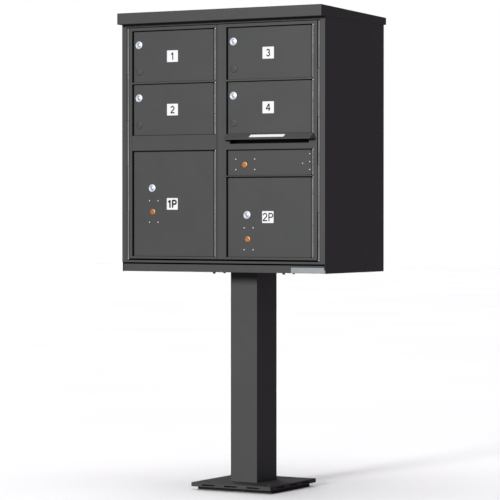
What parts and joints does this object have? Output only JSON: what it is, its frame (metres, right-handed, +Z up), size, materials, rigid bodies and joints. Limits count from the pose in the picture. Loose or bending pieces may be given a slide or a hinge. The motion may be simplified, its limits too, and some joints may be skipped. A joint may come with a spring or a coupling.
{
  "type": "cluster mailbox unit",
  "caption": "Pedestal-mounted cluster mailbox: a sheet-metal cabinet with locking tenant doors, parcel lockers, an outgoing mail slot and master doors, on a square post and base.",
  "frame": {"origin": "middle of the footprint, on the ground under the mounting pad", "axes": "+Z up, front and doors towards -Y, +X to the right seen from the front"},
  "size_m": [0.7746, 0.4572, 1.5868],
  "materials": {
    "powder_coat": "satin",
    "lock_chrome": "polished",
    "lock_brass": "satin",
    "zinc_steel": "satin",
    "plate_silver": "satin",
    "label_white": "matte",
    "rubber": "matte"
  },
  "bodies": {
    "cabinet": {"mounting_pad": "rubber", "base_plate": "powder_coat", "pedestal_post": "powder_coat", "pedestal_top_plate": "powder_coat", "side_panel_left": "powder_coat", "side_panel_right": "powder_coat", "back_panel": "powder_coat", "top_panel": "powder_coat", "bottom_panel": "powder_coat", "hood": "powder_coat", "face_frame": "powder_coat", "bottom_rail": "powder_coat", "certificate_plate": "plate_silver", "centre_divider": "powder_coat", "shelf_1": "powder_coat", "shelf_2": "powder_coat", "shelf_3": "powder_coat", "shelf_4": "powder_coat", "shelf_5": "powder_coat", "left_master_pin": "zinc_steel", "right_master_pin": "zinc_steel"},
    "left_master_door": {"left_master_frame": "powder_coat", "filler_panel": "powder_coat", "left_column_pin": "zinc_steel"},
    "right_master_door": {"right_master_frame": "powder_coat", "slot_hood": "powder_coat", "slot_label": "label_white", "mail_baffle": "powder_coat", "right_column_pin": "zinc_steel"},
    "tenant_door_1": {"tenant_door_1": "powder_coat", "tenant_lock_1": "lock_chrome", "hole_plug_1": "powder_coat"},
    "tenant_lock_1_key_plug": {"tenant_lock_1_plug": "lock_chrome"},
    "tenant_door_2": {"tenant_door_2": "powder_coat", "tenant_lock_2": "lock_chrome", "hole_plug_2": "powder_coat"},
    "tenant_lock_2_key_plug": {"tenant_lock_2_plug": "lock_chrome"},
    "tenant_door_3": {"tenant_door_3": "powder_coat", "tenant_lock_3": "lock_chrome", "hole_plug_3": "powder_coat"},
    "tenant_lock_3_key_plug": {"tenant_lock_3_plug": "lock_chrome"},
    "tenant_door_4": {"tenant_door_4": "powder_coat", "tenant_lock_4": "lock_chrome", "hole_plug_4": "powder_coat"},
    "tenant_lock_4_key_plug": {"tenant_lock_4_plug": "lock_chrome"},
    "parcel_door_1": {"parcel_door_1": "powder_coat", "parcel_lock_1": "lock_chrome", "carrier_lock_1_bracket": "zinc_steel"},
    "parcel_lock_1_key_plug": {"parcel_lock_1_plug": "lock_chrome"},
    "carrier_lock_1_key_plug": {"carrier_lock_1_plug": "lock_brass"},
    "parcel_door_2": {"parcel_door_2": "powder_coat", "parcel_lock_2": "lock_chrome", "carrier_lock_2_bracket": "zinc_steel"},
    "parcel_lock_2_key_plug": {"parcel_lock_2_plug": "lock_chrome"},
    "carrier_lock_2_key_plug": {"carrier_lock_2_plug": "lock_brass"},
    "outgoing_door": {"outgoing_door": "powder_coat", "outgoing_lock_bracket": "zinc_steel"},
    "outgoing_lock_key_plug": {"outgoing_lock_plug": "lock_brass"}
  },
  "joints": [
    {"name": "left_master_hinge", "type": "hinge", "parent": "cabinet", "child": "left_master_door", "pos_m": [-0.3625, -0.1958, 1.15355], "axis": [0, 0, -1], "range_deg": [0, 105]},
    {"name": "right_master_hinge", "type": "hinge", "parent": "cabinet", "child": "right_master_door", "pos_m": [0.3625, -0.1958, 1.15355], "axis": [0, 0, 1], "range_deg": [0, 105]},
    {"name": "tenant_door_1_hinge", "type": "hinge", "parent": "left_master_door", "child": "tenant_door_1", "pos_m": [-0.0243, -0.1958, 1.4405], "axis": [0, 0, 1], "range_deg": [0, 110]},
    {"name": "tenant_lock_1_turn", "type": "hinge", "parent": "tenant_door_1", "child": "tenant_lock_1_key_plug", "pos_m": [-0.3212, -0.1936, 1.4802], "axis": [0, -1, 0], "range_deg": [0, 90]},
    {"name": "tenant_door_2_hinge", "type": "hinge", "parent": "left_master_door", "child": "tenant_door_2", "pos_m": [-0.0243, -0.1958, 1.26375], "axis": [0, 0, 1], "range_deg": [0, 110]},
    {"name": "tenant_lock_2_turn", "type": "hinge", "parent": "tenant_door_2", "child": "tenant_lock_2_key_plug", "pos_m": [-0.3212, -0.1936, 1.3037], "axis": [0, -1, 0], "range_deg": [0, 90]},
    {"name": "tenant_door_3_hinge", "type": "hinge", "parent": "right_master_door", "child": "tenant_door_3", "pos_m": [0.3404, -0.1958, 1.4405], "axis": [0, 0, 1], "range_deg": [0, 110]},
    {"name": "tenant_lock_3_turn", "type": "hinge", "parent": "tenant_door_3", "child": "tenant_lock_3_key_plug", "pos_m": [0.0435, -0.1936, 1.4802], "axis": [0, -1, 0], "range_deg": [0, 90]},
    {"name": "tenant_door_4_hinge", "type": "hinge", "parent": "right_master_door", "child": "tenant_door_4", "pos_m": [0.3404, -0.1958, 1.26375], "axis": [0, 0, 1], "range_deg": [0, 110]},
    {"name": "tenant_lock_4_turn", "type": "hinge", "parent": "tenant_door_4", "child": "tenant_lock_4_key_plug", "pos_m": [0.0435, -0.1936, 1.3037], "axis": [0, -1, 0], "range_deg": [0, 90]},
    {"name": "parcel_door_1_hinge", "type": "hinge", "parent": "left_master_door", "child": "parcel_door_1", "pos_m": [-0.0243, -0.1958, 0.951], "axis": [0, 0, 1], "range_deg": [0, 110]},
    {"name": "parcel_lock_1_turn", "type": "hinge", "parent": "parcel_door_1", "child": "parcel_lock_1_key_plug", "pos_m": [-0.2697, -0.1936, 1.0037], "axis": [0, -1, 0], "range_deg": [0, 90]},
    {"name": "carrier_lock_1_turn", "type": "hinge", "parent": "parcel_door_1", "child": "carrier_lock_1_key_plug", "pos_m": [-0.2697, -0.1936, 0.9242], "axis": [0, -1, 0], "range_deg": [0, 90]},
    {"name": "parcel_door_2_hinge", "type": "hinge", "parent": "right_master_door", "child": "parcel_door_2", "pos_m": [0.3404, -0.1958, 0.9065], "axis": [0, 0, 1], "range_deg": [0, 110]},
    {"name": "parcel_lock_2_turn", "type": "hinge", "parent": "parcel_door_2", "child": "parcel_lock_2_key_plug", "pos_m": [0.095, -0.1936, 0.9147], "axis": [0, -1, 0], "range_deg": [0, 90]},
    {"name": "carrier_lock_2_turn", "type": "hinge", "parent": "parcel_door_2", "child": "carrier_lock_2_key_plug", "pos_m": [0.095, -0.1936, 0.8352], "axis": [0, -1, 0], "range_deg": [0, 90]},
    {"name": "outgoing_door_hinge", "type": "hinge", "parent": "right_master_door", "child": "outgoing_door", "pos_m": [0.3404, -0.1958, 1.084], "axis": [0, 0, 1], "range_deg": [0, 110]},
    {"name": "outgoing_lock_turn", "type": "hinge", "parent": "outgoing_door", "child": "outgoing_lock_key_plug", "pos_m": [0.0835, -0.1936, 1.0778], "axis": [0, -1, 0], "range_deg": [0, 90]}
  ]
}
